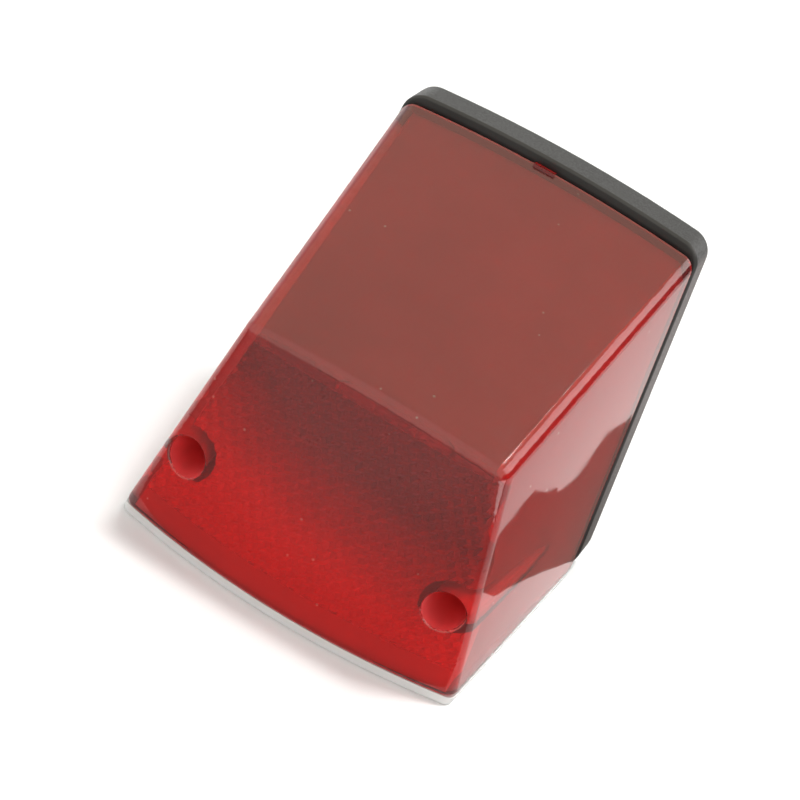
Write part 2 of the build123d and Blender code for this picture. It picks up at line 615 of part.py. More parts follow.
# rubber grommet in the cable hole
with BuildPart() as cable_grommet:
    with BuildSketch(Plane(origin=(0, 0, CABLE_Z), x_dir=(1, 0, 0), z_dir=(0, 0, 1))):
        with BuildLine():
            Polyline((CABLE_R, -0.05), (6.5, -0.05), (6.8, -0.35), (6.8, -1.28), (4.95, -1.28), (4.95, -2.52), (6.4, -2.52), (5.4, -4.4), (CABLE_R, -4.4), close=True)
        make_face()
    revolve(axis=Axis((0, 0, CABLE_Z), (0, 1, 0)), revolution_arc=360)
    cable_grommet.part.label = "cable_grommet"
export_step(cable_grommet.part, "parts/cable_grommet.step")
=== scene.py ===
import bpy, bmesh, math, random
from mathutils import Matrix, Vector


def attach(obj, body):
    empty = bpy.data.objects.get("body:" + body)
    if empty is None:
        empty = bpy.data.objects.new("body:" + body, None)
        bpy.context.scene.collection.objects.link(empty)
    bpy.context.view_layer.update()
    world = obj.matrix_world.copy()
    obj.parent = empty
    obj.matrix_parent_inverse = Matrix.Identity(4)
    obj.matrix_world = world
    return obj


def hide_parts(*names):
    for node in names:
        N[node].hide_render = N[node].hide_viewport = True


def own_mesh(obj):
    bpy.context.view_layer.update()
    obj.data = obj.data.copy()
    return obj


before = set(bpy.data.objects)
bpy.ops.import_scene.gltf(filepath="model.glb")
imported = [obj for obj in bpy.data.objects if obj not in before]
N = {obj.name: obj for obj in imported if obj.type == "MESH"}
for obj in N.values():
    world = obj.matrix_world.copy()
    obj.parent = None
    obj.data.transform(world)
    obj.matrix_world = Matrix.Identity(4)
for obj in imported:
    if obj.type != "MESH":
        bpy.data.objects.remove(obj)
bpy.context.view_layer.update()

random.seed(7)
MM = 0.001
col = bpy.context.scene.collection


# ---------------------------------------------------------------------------
# mesh helpers (all sizes in millimetres, objects built in metres)
# ---------------------------------------------------------------------------
def add_mesh(name, verts, faces, smooth=35.0):
    me = bpy.data.meshes.new(name)
    me.from_pydata([(x * MM, y * MM, z * MM) for x, y, z in verts], [], faces)
    me.validate()
    bm = bmesh.new()
    bm.from_mesh(me)
    bmesh.ops.recalc_face_normals(bm, faces=bm.faces)
    bm.to_mesh(me)
    bm.free()
    ob = bpy.data.objects.new(name, me)
    col.objects.link(ob)
    if smooth:
        smooth_by_angle(ob, smooth)
    return ob


def smooth_by_angle(ob, degrees):
    me = ob.data
    bm = bmesh.new()
    bm.from_mesh(me)
    lim = math.radians(degrees)
    for f in bm.faces:
        f.smooth = True
    for e in bm.edges:
        e.smooth = len(e.link_faces) == 2 and e.calc_face_angle(0.0) < lim
    bm.to_mesh(me)
    bm.free()


def lathe(name, profile, x=0.0, z=0.0, n=64, smooth=35.0):
    """Surface of revolution about a line along Y through (x, z). profile is [(radius, y)], from axis to axis."""
    verts, faces, rings = [], [], []
    for r, y in profile:
        if r < 1e-6:
            rings.append([len(verts)])
            verts.append((x, y, z))
        else:
            rings.append(list(range(len(verts), len(verts) + n)))
            for k in range(n):
                a = 2 * math.pi * k / n
                verts.append((x + r * math.cos(a), y, z + r * math.sin(a)))
    for a, b in zip(rings, rings[1:]):
        if len(a) == 1 and len(b) == 1:
            continue
        for k in range(n):
            j = (k + 1) % n
            if len(a) == 1:
                faces.append((a[0], b[k], b[j]))
            elif len(b) == 1:
                faces.append((a[k], a[j], b[0]))
            else:
                faces.append((a[k], a[j], b[j], b[k]))
    return add_mesh(name, verts, faces, smooth)


def threaded_rod(name, r_major, r_minor, pitch, y0, y1, x, z, taper0=0.0, taper1=0.0, n=40, per=8):
    """A closed rod along Y with a single helical V thread. taper0/1 shorten the crest at each end."""
    steps = max(8, int(round(abs(y1 - y0) / pitch * per)))
    verts, faces = [], []
    for i in range(steps + 1):
        y = y0 + (y1 - y0) * i / steps
        d0, d1 = abs(y - y0), abs(y1 - y)
        cap = r_major
        if taper0 and d0 < taper0:
            cap = min(cap, r_minor - 0.15 + (r_major - r_minor + 0.15) * d0 / taper0)
        if taper1 and d1 < taper1:
            cap = min(cap, r_minor - 0.15 + (r_major - r_minor + 0.15) * d1 / taper1)
        for k in range(n):
            t = (y / pitch - k / n) % 1.0
            tri = 1 - abs(2 * t - 1)
            tri = min(1.0, max(0.0, (tri - 0.12) / 0.76))
            r = min(cap, r_minor + (r_major - r_minor) * tri)
            a = 2 * math.pi * k / n
            verts.append((x + r * math.cos(a), y, z + r * math.sin(a)))
    for i in range(steps):
        for k in range(n):
            j = (k + 1) % n
            a, b = i * n, (i + 1) * n
            faces.append((a + k, a + j, b + j, b + k))
    faces.append(tuple(range(n)))
    faces.append(tuple(steps * n + k for k in reversed(range(n))))
    return add_mesh(name, verts, faces, 55.0)


def tube(name, pts, r, n=10, smooth=50.0):
    """A closed tube of radius r along a list of points."""
    P = [Vector(p) for p in pts]
    verts, faces = [], []
    t = (P[1] - P[0]).normalized()
    ref = Vector((0, 0, 1)) if abs(t.z) < 0.9 else Vector((1, 0, 0))
    u = t.cross(ref).normalized()
    for i, p in enumerate(P):
        a = P[max(i - 1, 0)]
        b = P[min(i + 1, len(P) - 1)]
        t = (b - a).normalized()
        u = (u - t * u.dot(t)).normalized()
        w = t.cross(u)
        for k in range(n):
            g = 2 * math.pi * k / n
            verts.append(tuple(p + (u * math.cos(g) + w * math.sin(g)) * r))
    for i in range(len(P) - 1):
        for k in range(n):
            j = (k + 1) % n
            faces.append((i * n + k, i * n + j, (i + 1) * n + j, (i + 1) * n + k))
    faces.append(tuple(range(n)))
    m = (len(P) - 1) * n
    faces.append(tuple(m + k for k in reversed(range(n))))
    return add_mesh(name, verts, faces, smooth)


def join(name, *obs):
    """One object from several, keeping each mesh as it is."""
    verts, faces, smooth, sharp = [], [], [], set()
    me = bpy.data.meshes.new(name)
    bm = bmesh.new()
    for o in obs:
        bm.from_mesh(o.data)
    bm.to_mesh(me)
    bm.free()
    ob = bpy.data.objects.new(name, me)
    col.objects.link(ob)
    for o in obs:
        bpy.data.objects.remove(o)
    return ob


def boolean(ob, other, op):
    """ob becomes the exact boolean of ob and other; other is removed."""
    m = ob.modifiers.new("b", "BOOLEAN")
    m.operation, m.solver, m.object = op, "EXACT", other
    dg = bpy.context.evaluated_depsgraph_get()
    me = bpy.data.meshes.new_from_object(ob.evaluated_get(dg))
    ob.modifiers.clear()
    ob.data = me
    bpy.data.objects.remove(other)
    return ob


def box_mesh(name, lo, hi):
    (x0, y0, z0), (x1, y1, z1) = lo, hi
    v = [(x, y, z) for x in (x0, x1) for y in (y0, y1) for z in (z0, z1)]
    f = [(0, 1, 3, 2), (4, 6, 7, 5), (0, 4, 5, 1), (2, 3, 7, 6), (0, 2, 6, 4), (1, 5, 7, 3)]
    return add_mesh(name, v, f, 0)


# ---------------------------------------------------------------------------
# material helpers
# ---------------------------------------------------------------------------
class Mat:
    """A small wrapper that builds one procedural material."""

    def __init__(self, name):
        self.m = bpy.data.materials.new(name)
        self.m.use_nodes = True
        self.t = self.m.node_tree
        self.bsdf = self.t.nodes["Principled BSDF"]
        self.out = self.t.nodes["Material Output"]
        self.co = self.t.nodes.new("ShaderNodeTexCoord")

    def node(self, kind, **props):
        n = self.t.nodes.new(kind)
        for k, v in props.items():
            setattr(n, k, v)
        return n

    def link(self, a, b):
        self.t.links.new(a, b)

    def set(self, **vals):
        for k, v in vals.items():
            self.bsdf.inputs[k.replace("_", " ")].default_value = v
        return self

    def noise(self, scale, detail=4.0, rough=0.55, vec=None, w=None, stretch=None):
        n = self.node("ShaderNodeTexNoise")
        n.inputs["Scale"].default_value = scale
        n.inputs["Detail"].default_value = detail
        n.inputs["Roughness"].default_value = rough
        src = vec or self.co.outputs["Object"]
        if stretch:
            mp = self.node("ShaderNodeMapping")
            mp.inputs["Scale"].default_value = stretch
            self.link(src, mp.inputs["Vector"])
            src = mp.outputs["Vector"]
        self.link(src, n.inputs["Vector"])
        return n.outputs["Fac"]

    def ramp(self, fac, stops, interp="LINEAR"):
        r = self.node("ShaderNodeValToRGB")
        r.color_ramp.interpolation = interp
        els = r.color_ramp.elements
        while len(els) < len(stops):
            els.new(0.5)
        for e, (p, c) in zip(els, stops):
            e.position = p
            e.color = c if len(c) == 4 else (*c, 1.0)
        self.link(fac, r.inputs["Fac"])
        return r.outputs["Color"]

    def rng(self, fac, lo, hi, a=0.0, b=1.0):
        m = self.node("ShaderNodeMapRange")
        for k, v in (("From Min", a), ("From Max", b), ("To Min", lo), ("To Max", hi)):
            m.inputs[k].default_value = v
        self.link(fac, m.inputs["Value"])
        return m.outputs["Result"]

    def math(self, op, a, b=None, clamp=False):
        m = self.node("ShaderNodeMath", operation=op, use_clamp=clamp)
        for i, v in enumerate((a, b)):
            if v is None:
                continue
            if isinstance(v, (int, float)):
                m.inputs[i].default_value = v
            else:
                self.link(v, m.inputs[i])
        return m.outputs[0]

    def mix(self, fac, a, b, blend="MIX"):
        m = self.node("ShaderNodeMix", data_type="RGBA", blend_type=blend)
        if isinstance(fac, (int, float)):
            m.inputs[0].default_value = fac
        else:
            self.link(fac, m.inputs[0])
        for i, v in ((6, a), (7, b)):
            if isinstance(v, tuple):
                m.inputs[i].default_value = (*v, 1.0) if len(v) == 3 else v
            else:
                self.link(v, m.inputs[i])
        return m.outputs[2]

    def bump(self, height, strength=0.2, distance=0.0001):
        b = self.node("ShaderNodeBump")
        b.inputs["Strength"].default_value = strength
        b.inputs["Distance"].default_value = distance
        self.link(height, b.inputs["Height"])
        self.link(b.outputs["Normal"], self.bsdf.inputs["Normal"])
        return self

    def color(self, sock):
        self.link(sock, self.bsdf.inputs["Base Color"])
        return self

    def rough(self, sock):
        self.link(sock, self.bsdf.inputs["Roughness"])
        return self


def assign(ob, mat):
    ob.data.materials.clear()
    ob.data.materials.append(mat)
    return ob


def moulded_black(name, base=(0.009, 0.009, 0.0088), light=(0.017, 0.017, 0.0165), grain=2600, strength=0.22):
    m = Mat(name)
    big = m.noise(55, 3)
    fine = m.noise(grain, 2)
    m.color(m.ramp(big, [(0.32, base), (0.72, light)]))
    m.rough(m.rng(fine, 0.34, 0.52, 0.3, 0.7))
    m.bump(fine, strength, 0.00006)
    m.set(IOR=1.42)
    return m.m


def soft_rubber(name, base=(0.016, 0.016, 0.016), light=(0.036, 0.035, 0.034), rough=(0.62, 0.85), scale=1500):
    m = Mat(name)
    fine = m.noise(scale, 4)
    m.color(m.ramp(m.noise(90, 3), [(0.3, base), (0.75, light)]))
    m.rough(m.rng(fine, rough[0], rough[1], 0.3, 0.7))
    m.bump(fine, 0.35, 0.00008)
    m.set(IOR=1.5)
    return m.m


def metal(name, dark, light, rough=(0.2, 0.4), scale=220, stretch=(1, 1, 1), bump=0.06):
    m = Mat(name)
    m.set(Metallic=1.0)
    n = m.noise(scale, 5, stretch=stretch)
    m.color(m.ramp(n, [(0.3, dark), (0.7, light)]))
    m.rough(m.rng(m.noise(scale * 3.1, 4, stretch=stretch), rough[0], rough[1], 0.3, 0.7))
    m.bump(n, bump, 0.00005)
    return m.m


# ---------------------------------------------------------------------------
# materials
# ---------------------------------------------------------------------------
def red_polished():
    """Outer faces: clear red, polished, with a few dust specks."""
    m = Mat("red_polished")
    tint = m.noise(38, 3)
    haze = m.noise(240, 4)
    body = m.ramp(tint, [(0.3, (0.72, 0.016, 0.013)), (0.7, (0.79, 0.022, 0.018))])
    v = m.node("ShaderNodeTexVoronoi")
    v.inputs["Scale"].default_value = 200.0
    m.link(m.co.outputs["Object"], v.inputs["Vector"])
    speck = m.rng(v.outputs["Distance"], 1.0, 0.0, 0.040, 0.060)
    m.color(m.mix(speck, body, (0.85, 0.42, 0.30)))
    m.rough(m.rng(haze, 0.030, 0.090, 0.35, 0.75))
    m.set(Transmission_Weight=0.90, IOR=1.53)
    flow = m.noise(26, 2, stretch=(1.0, 0.35, 2.2))
    m.bump(flow, 0.022, 0.0004)
    return m.m


def red_frosted_painted_shade():
    """Inner faces: the same plastic with a spark-eroded, frosted finish; its dark base colour is painted shade, a
    darker copy of the side faces' material.
    """
    m = Mat("red_frosted_painted_shade")
    # dark base colour: painted shade on the inner top and the tube outsides
    m.color(m.ramp(m.noise(60, 3), [(0.3, (0.15, 0.014, 0.010)), (0.7, (0.20, 0.019, 0.014))]))
    m.rough(m.rng(m.noise(500, 3), 0.36, 0.50, 0.3, 0.7))
    m.set(Transmission_Weight=0.72, IOR=1.53)
    m.bump(m.noise(1500, 2), 0.15, 0.00006)
    return m.m


def red_side_painted_light():
    """Inner side faces: frosted, with a lighter base colour painted in for the light they catch more than the top."""
    m = Mat("red_side_painted_light")
    # lighter base colour: painted light, a lit copy of the inner top's material
    m.color(m.ramp(m.noise(60, 3), [(0.3, (0.48, 0.026, 0.024)), (0.7, (0.58, 0.033, 0.030))]))
    m.rough(m.rng(m.noise(500, 3), 0.36, 0.50, 0.3, 0.7))
    m.set(Transmission_Weight=0.55, IOR=1.53)
    m.bump(m.noise(1500, 2), 0.15, 0.00006)
    return m.m


def red_tube_painted_light():
    """Walls of the two screw tubes, dull inside and out, in a lighter, pinker red that is painted light in the bores;
    also used at the foot of the inner front as painted light.
    """
    m = Mat("red_tube_painted_light")
    # lighter, pinker base colour: painted light in the recesses
    m.color(m.ramp(m.noise(90, 3), [(0.3, (0.92, 0.105, 0.110)), (0.7, (0.98, 0.13, 0.135))]))
    m.rough(m.rng(m.noise(600, 3), 0.30, 0.45, 0.3, 0.7))
    m.set(Transmission_Weight=0.25, IOR=1.53)
    m.bump(m.noise(900, 2), 0.1, 0.00005)
    return m.m


def red_prisms_painted_shade():
    """Prism faces: bright red low down and dark towards the ridge; both the light and the shade are painted into the
    colour by height.
    """
    m = Mat("red_prisms_painted_shade")
    sep = m.node("ShaderNodeSeparateXYZ")
    m.link(m.co.outputs["Object"], sep.inputs[0])
    wob = m.noise(120, 3)
    # height of the painted shade edge falls towards +X; metres
    h = m.math("ADD", sep.outputs["Z"], m.math("MULTIPLY", sep.outputs["X"], 0.20))
    h = m.math("ADD", h, m.math("MULTIPLY", wob, 0.006))
    k = m.rng(h, 0.0, 1.0, -0.018, 0.001)
    # painted light and shade: bright red below the edge, dark red above it towards the ridge
    m.color(m.mix(k, (0.98, 0.066, 0.072), (0.19, 0.024, 0.011)))
    m.rough(m.rng(m.noise(700, 3), 0.26, 0.38, 0.3, 0.7))
    m.set(Transmission_Weight=0.12, IOR=1.53)
    m.bump(m.noise(900, 2), 0.1, 0.00005)
    return m.m


M = {
    "red": red_polished(),
    "frost_shaded": red_frosted_painted_shade(),
    "prism": red_prisms_painted_shade(),
    "tube": red_tube_painted_light(),
    "side": red_side_painted_light(),
    "tray": moulded_black("tray_plastic"),
    "gasket": soft_rubber("foam_seal", (0.010, 0.010, 0.010), (0.022, 0.022, 0.022), (0.8, 0.95), 2400),
    "grommet": soft_rubber("grommet_rubber"),
    "washer": soft_rubber("washer_rubber", (0.02, 0.02, 0.02), (0.04, 0.04, 0.04)),
    "alu": metal("aluminised_sheet", (0.70, 0.71, 0.72), (0.86, 0.87, 0.88), (0.14, 0.30), 160, (1, 1, 1), 0.05),
    "plated": metal("nickel_plated_brass", (0.55, 0.52, 0.46), (0.72, 0.69, 0.62), (0.18, 0.36), 420),
    "brass": metal("bare_brass", (0.55, 0.38, 0.14), (0.76, 0.57, 0.25), (0.24, 0.42), 380),
    "zinc": metal("zinc_plate", (0.48, 0.49, 0.50), (0.66, 0.67, 0.69), (0.22, 0.45), 520),
    "spring": metal("spring_wire", (0.30, 0.30, 0.31), (0.46, 0.46, 0.47), (0.25, 0.4), 700, (1, 1, 1), 0.1),
    "solder": metal("soft_solder", (0.42, 0.42, 0.42), (0.60, 0.60, 0.58), (0.3, 0.55), 900, (1, 1, 1), 0.2),
    "nickel": metal("nickel_wire", (0.42, 0.40, 0.36), (0.58, 0.56, 0.52), (0.25, 0.4), 900),
    "tungsten": metal("tungsten_wire", (0.14, 0.14, 0.15), (0.26, 0.26, 0.27), (0.3, 0.5), 1200),
}


def clear_window():
    m = Mat("clear_window_plastic")
    n = m.noise(60, 3)
    m.color(m.ramp(n, [(0.3, (0.95, 0.955, 0.94)), (0.7, (0.99, 0.99, 0.98))]))
    m.rough(m.rng(m.noise(300, 4), 0.06, 0.20, 0.35, 0.75))
    m.set(Transmission_Weight=0.40, IOR=1.49)
    m.bump(m.noise(30, 2), 0.04, 0.0003)
    return m.m


def blown_glass():
    m = Mat("blown_glass")
    m.color(m.ramp(m.noise(40, 2), [(0.3, (0.955, 0.965, 0.955)), (0.7, (0.985, 0.99, 0.985))]))
    m.rough(m.rng(m.noise(90, 3), 0.0, 0.02, 0.35, 0.75))
    m.set(Transmission_Weight=1.0, IOR=1.5)
    m.bump(m.noise(70, 2), 0.06, 0.0003)
    return m.m


def phenolic():
    m = Mat("phenolic_laminate")
    n = m.noise(160, 4, stretch=(1, 6, 1))
    m.color(m.ramp(n, [(0.3, (0.075, 0.030, 0.012)), (0.7, (0.15, 0.065, 0.028))]))
    m.rough(m.rng(m.noise(900, 3), 0.35, 0.55, 0.3, 0.7))
    m.bump(m.noise(1400, 2), 0.15, 0.00005)
    return m.m


def vitrite():
    m = Mat("vitrite")
    m.color(m.ramp(m.noise(200, 3), [(0.3, (0.010, 0.010, 0.014)), (0.7, (0.03, 0.03, 0.04))]))
    m.rough(m.rng(m.noise(500, 3), 0.08, 0.22, 0.3, 0.7))
    m.bump(m.noise(300, 2), 0.1, 0.0001)
    return m.m


M["window"], M["glass"], M["phenolic"], M["vitrite"] = clear_window(), blown_glass(), phenolic(), vitrite()

# ---------------------------------------------------------------------------
# CAD nodes that stay as they are
# ---------------------------------------------------------------------------
for node, key in {
    "base_tray": "tray", "lens_gasket": "gasket", "plate_window": "window", "reflector": "alu",
    "socket_shell": "plated", "earth_strap": "brass", "socket_rivets": "zinc", "contact_carrier": "phenolic",
    "contact_pips": "brass", "bulb_cap": "plated", "bulb_pins": "plated", "bulb_insulator": "vitrite",
    "bulb_solder_contacts": "solder", "bulb_glass": "glass", "bulb_stem": "glass", "bulb_leads": "nickel",
    "bulb_filaments": "tungsten", "lens_screw_left": "zinc", "lens_screw_right": "zinc",
    "sealing_washers": "washer", "threaded_inserts": "brass", "mounting_studs": "zinc",
    "cable_grommet": "grommet", "contact_spring": "spring", "lens_hood": "red",
}.items():
    assign(N[node], M[key])

# ---------------------------------------------------------------------------
# the red lens: the moulding, with its field of corner prisms inside the front
# ---------------------------------------------------------------------------
A_X, B_X, C_X, D_X = 31.0, 25.9, 35.0, 37.1
B_Y, B_Z, C_Y, BOW, WALL, Z_BOT = -68.1, 10.5, -67.6, 5.4, 2.4, -36.0
S_X, S_Z, TUBE_R = 26.4, -18.4, 5.2
LIFT = 3.0


def inner_front(x, z):
    """y of the inner face of the lens front (a ruled face between a straight ridge and a bowed foot)."""
    zi, zb = 8.93 + LIFT, Z_BOT - 4.0
    s = min(1.0, max(0.0, (zi - z) / (zi - zb)))
    a, h = C_X - WALL + 0.8, BOW + 0.4
    r = (a * a + h * h) / (2 * h)
    top = B_X - WALL - 0.196 * LIFT
    hw = top + (a - top) * s
    xb = max(-a, min(a, x / hw * a))
    yb = (C_Y + WALL) - (math.sqrt(r * r - xb * xb) - (r - h))
    yt = B_Y + WALL
    return yt + (yb - yt) * s


def prism_field(name):
    """Corner-prism sheet: lattice points in three levels; each rhombus pair is one face of a small cube corner."""
    e = 0.94                       # lattice spacing, so a prism is 1.6 mm across
    step = e * 0.7071
    z_lo, z_hi = -31.6, 9.0
    cols = int(72 / e)
    rows = int((z_hi - z_lo) / (e * math.sqrt(3) / 2))
    idx, top, back = {}, [], []
    for j in range(rows + 1):
        z = z_lo + j * e * math.sqrt(3) / 2
        for i in range(-cols, cols + 1):
            x = (i + 0.5 * (j % 2)) * e
            half = (B_X - WALL) + (C_X - B_X) * (8.9 - z) / 45.0
            if abs(x) > half + 0.9:
                continue
            if math.hypot(abs(x) - S_X, z - S_Z) < TUBE_R - 1.15:
                continue
            idx[(i, j)] = len(top)
            level = (i + (j // 2) * 1 + (j % 2) * 2) % 3
            top.append((x, inner_front(x, z) + 0.02 + level * step, z))
            back.append((x, inner_front(x, z) - 1.0, z))
    n = len(top)
    tris = []
    for (i, j), a in idx.items():
        o = j % 2
        for t in (((i, j), (i + 1, j), (i + o, j + 1)), ((i + 1, j), (i + 1 + o, j + 1), (i + o, j + 1))):
            if all(k in idx for k in t):
                tris.append(tuple(idx[k] for k in t))
    edges = {}
    for a, b, c in tris:
        for u, w in ((a, b), (b, c), (c, a)):
            edges[(u, w)] = edges.get((u, w), 0) + 1
    faces = list(tris) + [(n + c, n + b, n + a) for a, b, c in tris]
    for (u, w) in edges:
        if (w, u) not in edges:
            faces.append((w, u, n + u, n + w))
    ob = add_mesh(name, top + back, faces, 0)
    bm = bmesh.new()
    bm.from_mesh(ob.data)
    loose = [v for v in bm.verts if not v.link_faces]
    bmesh.ops.delete(bm, geom=loose, context="VERTS")
    bm.to_mesh(ob.data)
    bm.free()
    return boolean(ob, box_mesh("clip", (-40, -80, -29.6), (40, -50, 7.4)), "INTERSECT")


lens = bpy.data.objects.new("lens_moulding", N["lens_hood"].data.copy())
col.objects.link(lens)
bm = bmesh.new()
bm.from_mesh(lens.data)
bmesh.ops.remove_doubles(bm, verts=bm.verts, dist=1e-7)
bmesh.ops.recalc_face_normals(bm, faces=bm.faces)
bm.to_mesh(lens.data)
bm.free()
boolean(lens, prism_field("prisms"), "UNION")
smooth_by_angle(lens, 22.0)
assign(lens, M["red"])
lens.data.materials.append(M["frost_shaded"])
lens.data.materials.append(M["prism"])
lens.data.materials.append(M["tube"])
lens.data.materials.append(M["side"])
SLOPE_N = Vector((0.0, -0.4007, 0.9162))
for p in lens.data.polygons:
    c, nrm = p.center / MM, p.normal
    sx = math.copysign(S_X, c.x)
    rad = math.hypot(c.x - sx, c.z - S_Z)
    radial = abs(((c.x - sx) * nrm.x + (c.z - S_Z) * nrm.z) / max(rad, 1e-6))
    # bore walls and floors take the lighter tube material: painted light in the recesses
    if (abs(rad - 3.75) < 0.12 and radial > 0.97) or (abs(c.y + 13.4) < 0.05 and rad < 3.8):
        p.material_index = 3
        continue
    if abs(rad - TUBE_R) < 0.15 and radial > 0.97:
        p.material_index = 1
        continue
    if c.y > -10.0:
        continue
    half = (B_X - WALL) + (C_X - B_X) * (8.9 - c.z) / 45.0 + 0.3
    if -29.7 < c.z < 7.5 and abs(c.x) < half and -0.3 < c.y - inner_front(c.x, c.z) < 2.2:
        p.material_index = 2
    # foot strip of the inner front, below the prisms, takes the lighter tube material: painted light
    elif c.z < -29.0 and abs(c.y - inner_front(c.x, c.z)) < 0.4 and nrm.y > 0.5:
        p.material_index = 3
    elif nrm.dot(SLOPE_N) < -0.85:
        p.material_index = 1
    elif c.x * nrm.x < 0 and abs(nrm.x) > 0.85:
        p.material_index = 4
wn = lens.modifiers.new("weighted", "WEIGHTED_NORMAL")
wn.keep_sharp = True
wn.weight = 80
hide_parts("lens_hood")
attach(lens, "lens")

# ---------------------------------------------------------------------------
# threaded studs and lens screws
# ---------------------------------------------------------------------------
studs = []
for sx in (-20.0, 20.0):
    hexhead = lathe("h", [(0, -6.0), (3.6, -6.0), (4.35, -5.6), (4.61, -5.2), (4.61, -2.5), (0, -2.5)], sx, 17.0, 6, 20)
    hexhead.data.transform(Matrix.Translation((-sx * MM, 0, -0.017)))
    hexhead.data.transform(Matrix.Rotation(math.radians(30), 4, "Y"))
    hexhead.data.transform(Matrix.Translation((sx * MM, 0, 0.017)))
    rod = threaded_rod("r", 2.5, 2.06, 0.8, -0.1, 14.0, sx, 17.0, taper1=0.9)
    neck = lathe("n", [(0, -2.6), (2.9, -2.6), (2.9, -0.1), (2.8, 0.0), (0, 0.0)], sx, 17.0, 40, 30)
    studs += [hexhead, rod, neck]
studs = join("threaded_studs", *studs)
assign(studs, M["zinc"])
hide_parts("mounting_studs")
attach(studs, "base")

for side, sx in (("left", -S_X), ("right", S_X)):
    head = lathe("h", [(0, -16.8), (2.9, -16.8), (3.25, -16.7), (3.45, -16.45), (3.5, -16.2), (3.5, -14.35), (3.4, -14.2), (0, -14.2)], sx, S_Z, 56, 30)
    boolean(head, box_mesh("c", (sx - 5, -19, S_Z - 0.6), (sx + 5, -15.6, S_Z + 0.6)), "DIFFERENCE")
    smooth_by_angle(head, 30)
    shank = threaded_rod("s", 1.95, 1.62, 0.7, -14.25, -3.0, sx, S_Z, taper1=0.8)
    sc = join("screw_" + side, head, shank)
    assign(sc, M["zinc"])
    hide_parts("lens_screw_" + side)
    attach(sc, "screw_" + side)

# ---------------------------------------------------------------------------
# bulb filaments as coiled wire, and the contact spring
# ---------------------------------------------------------------------------
coils = []
for (x0, x1, y, z, r, turns) in ((-3.7, 3.7, -47.6, -2.4, 0.40, 26), (-3.1, 3.1, -42.6, -5.8, 0.35, 22)):
    pts = []
    k = turns * 12
    for i in range(k + 1):
        t = i / k
        a = 2 * math.pi * turns * t
        sag = 0.25 * math.sin(math.pi * t)
        pts.append((x0 + (x1 - x0) * t, y + r * math.cos(a), z - sag * 0.5 + r * math.sin(a)))
    coils.append(tube("f", pts, 0.07, 6))
coils = join("filament_coils", *coils)
assign(coils, M["tungsten"])
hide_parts("bulb_filaments")
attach(coils, "bulb")

pts = []
for i in range(int(2.5 * 48) + 1):
    t = i / (2.5 * 48)
    a = 2 * math.pi * 2.5 * t
    pts.append((6.3 * math.cos(a), -2.82 - 3.46 * t, -4.0 + 6.3 * math.sin(a)))
spring = tube("spring_coil", pts, 0.3, 12)
assign(spring, M["spring"])
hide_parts("contact_spring")
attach(spring, "base")
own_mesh(spring)

# smoother shading on the CAD nodes
for n, o in N.items():
    if not o.hide_render:
        w = o.modifiers.new("weighted", "WEIGHTED_NORMAL")
        w.keep_sharp = True

# ---------------------------------------------------------------------------
# studio: pale floor, soft light, camera
# ---------------------------------------------------------------------------
FLOOR_Z = -36.0


def stage_mesh(name, verts, faces):
    ob = add_mesh(name, verts, faces, 0)
    return ob


floor = stage_mesh("floor", [(-2500, -2500, FLOOR_Z - 0.02), (2500, -2500, FLOOR_Z - 0.02), (2500, 2500, FLOOR_Z - 0.02), (-2500, 2500, FLOOR_Z - 0.02)], [(0, 1, 2, 3)])
fm = Mat("floor_paper")
fm.color(fm.ramp(fm.noise(12, 3), [(0.3, (0.90, 0.90, 0.895)), (0.7, (0.93, 0.93, 0.925))]))
fm.rough(fm.rng(fm.noise(400, 3), 0.75, 0.9, 0.3, 0.7))
assign(floor, fm.m)

world = bpy.data.worlds.new("studio")
bpy.context.scene.world = world
world.use_nodes = True
bg = world.node_tree.nodes["Background"]
bg.inputs["Color"].default_value = (1.0, 0.995, 0.985, 1.0)
bg.inputs["Strength"].default_value = 1.0
wt = world.node_tree
wco = wt.nodes.new("ShaderNodeTexCoord")
wsp = wt.nodes.new("ShaderNodeSeparateXYZ")
wt.links.new(wco.outputs["Generated"], wsp.inputs[0])
wr = wt.nodes.new("ShaderNodeValToRGB")
els = wr.color_ramp.elements
els.new(0.3)
els.new(0.6)
for e_, (p_, v_) in zip(els, ((0.0, 1.0), (0.3, 0.62), (0.6, 0.36), (1.0, 0.25))):
    e_.position, e_.color = p_, (v_, v_, v_ * 0.985, 1.0)
wt.links.new(wsp.outputs["Z"], wr.inputs["Fac"])
wt.links.new(wr.outputs["Color"], bg.inputs["Color"])
bg.inputs["Strength"].default_value = 1.9


def area(name, loc, target, size, power, color=(1, 1, 1)):
    d = bpy.data.lights.new(name, "AREA")
    d.shape, d.size, d.size_y = "RECTANGLE", size[0], size[1]
    d.energy, d.color = power, color
    o = bpy.data.objects.new(name, d)
    col.objects.link(o)
    o.location = loc
    o.rotation_mode = "QUATERNION"
    o.rotation_quaternion = (Vector(target) - Vector(loc)).to_track_quat("-Z", "Y")
    return o


key = area("key", (0.135, 0.105, 0.92), (0, -0.03, -0.036), (0.13, 0.13), 6.0, (1.0, 0.995, 0.985))
key.visible_glossy = False


def card(name, verts, faces, build):
    """A reflection card: seen in polished faces only, never by the camera or as a shadow."""
    o = stage_mesh(name, verts, faces)
    m = bpy.data.materials.new(name)
    m.use_nodes = True
    t = m.node_tree
    t.nodes.clear()
    em = t.nodes.new("ShaderNodeEmission")
    out = t.nodes.new("ShaderNodeOutputMaterial")
    t.links.new(em.outputs[0], out.inputs[0])
    build(t, em)
    assign(o, m)
    for flag in ("visible_camera", "visible_diffuse", "visible_transmission", "visible_volume_scatter", "visible_shadow"):
        setattr(o, flag, False)
    return o


def flat(color, strength):
    def build(t, em):
        em.inputs["Color"].default_value = (*color, 1.0)
        em.inputs["Strength"].default_value = strength
    return build


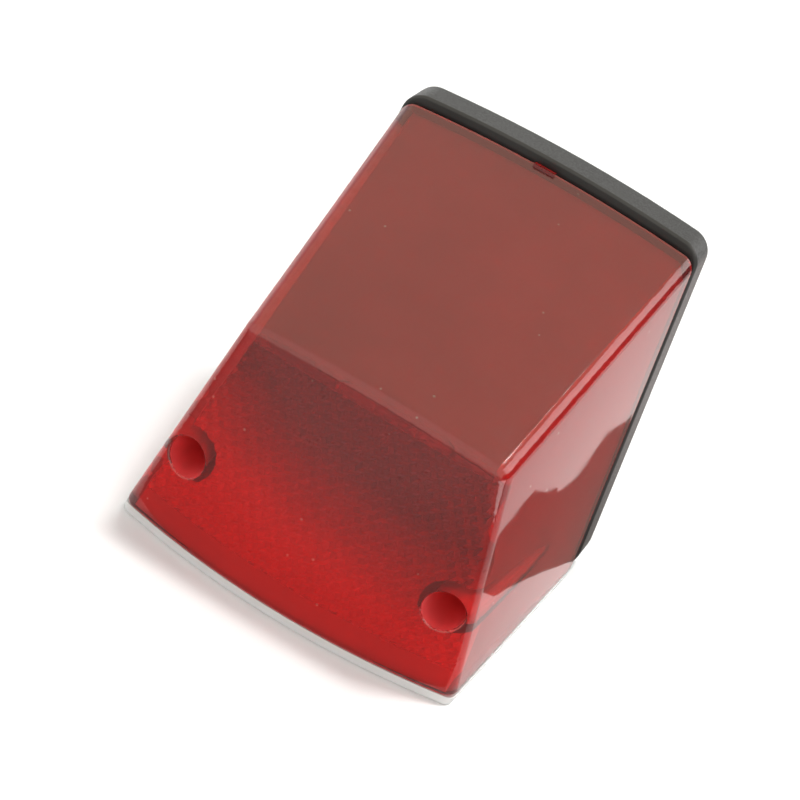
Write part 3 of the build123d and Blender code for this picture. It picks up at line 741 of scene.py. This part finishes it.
def fade(axis, a, b, lo, hi, color):
    """Emission that changes along one axis, between a and b in metres."""
    def build(t, em):
        co = t.nodes.new("ShaderNodeTexCoord")
        sp = t.nodes.new("ShaderNodeSeparateXYZ")
        t.links.new(co.outputs["Object"], sp.inputs[0])
        m = t.nodes.new("ShaderNodeMapRange")
        for k, v in (("From Min", a), ("From Max", b), ("To Min", lo), ("To Max", hi)):
            m.inputs[k].default_value = v
        t.links.new(sp.outputs[axis], m.inputs["Value"])
        t.links.new(m.outputs["Result"], em.inputs["Strength"])
        em.inputs["Color"].default_value = (*color, 1.0)
    return build


ZC = FLOOR_Z + 0.05
ZD = ZC + 0.05
card("card_front", [(-2500, -2500, ZC), (2500, -2500, ZC), (2500, -74.5, ZC), (-2500, -74.5, ZC)],
     [(0, 1, 2, 3)], fade("Y", -0.095, -0.165, 0.42, 0.95, (1.0, 0.96, 0.90)))
card("card_front_far", [(-2500, -2400, -40), (2500, -2400, -40), (2500, -2400, 700), (-2500, -2400, 700)],
     [(0, 1, 2, 3)], fade("Z", 0.20, 0.45, 0.95, 2.0, (1.0, 0.94, 0.84)))
card("card_front_high", [(-2500, -2390, 640), (2500, -2390, 640), (2500, -165, 624), (-2500, -165, 624)],
     [(0, 1, 2, 3)], flat((1.0, 0.94, 0.82), 2.0))
card("card_top", [(-900, -160, 620), (325, -160, 620), (325, 700, 620), (-900, 700, 620)], [(0, 1, 2, 3)], flat((1.0, 0.93, 0.76), 1.60))
card("card_top_right", [(325, -300, 622), (1150, -300, 622), (1150, 900, 622), (325, 900, 622)], [(0, 1, 2, 3)], flat((1.0, 0.94, 0.90), 4.6))
card("card_right", [(900, -700, -30), (900, 1300, -30), (900, 1300, 420), (900, -700, 420)], [(0, 1, 2, 3)], flat((1.0, 0.9, 0.88), 0.25))
card("card_side", [(38.5, -60, ZC), (140, -90, ZC), (220, 330, ZC), (50, 330, ZC), (38.5, 0, ZC)], [(0, 1, 2, 3, 4)], fade("Y", -0.045, 0.025, 1.25, 1.35, (1.0, 0.90, 0.87)))
card("card_dark", [(41, -6, ZD), (50, -24, ZD), (62, -22, ZD), (72, 0, ZD), (74, 24, ZD), (67, 23.5, ZD), (64.5, 27, ZD), (63, 24.5, ZD), (62, 27.5, ZD), (61.0, 35, ZD), (66, 58, ZD), (60, 78, ZD), (45, 24, ZD), (38.6, 0, ZD)],
     [tuple(range(14))], flat((0.9, 0.75, 0.66), 0.30))
card("card_edge", [(110, -190, ZC + 0.1), (330, -190, ZC + 0.1), (330, -92, ZC + 0.1), (142, -92, ZC + 0.1)], [(0, 1, 2, 3)], flat((1.0, 0.97, 0.95), 4.0))

cam_data = bpy.data.cameras.new("camera")
cam = bpy.data.objects.new("camera", cam_data)
col.objects.link(cam)
right = Vector((0.8491685336069659, 0.378698696966611, 0.368103380108885))
down = Vector((0.49835928424842696, -0.34391342150998866, -0.7958401738469154))
fwd = Vector((-0.17478794390686955, 0.8592501704515885, -0.4807684673974835))
rot = Matrix((right, -down, -fwd)).transposed()
cam.matrix_world = Matrix.Translation(Vector((74.140969, -404.213114 - 9.4, 242.275349 - 36.0)) * MM) @ rot.to_4x4()
cam_data.sensor_width = 36.0
cam_data.lens = 108.0
cam_data.clip_start, cam_data.clip_end = 0.01, 20.0
bpy.context.scene.camera = cam
bpy.context.scene.view_settings.view_transform = "Standard"
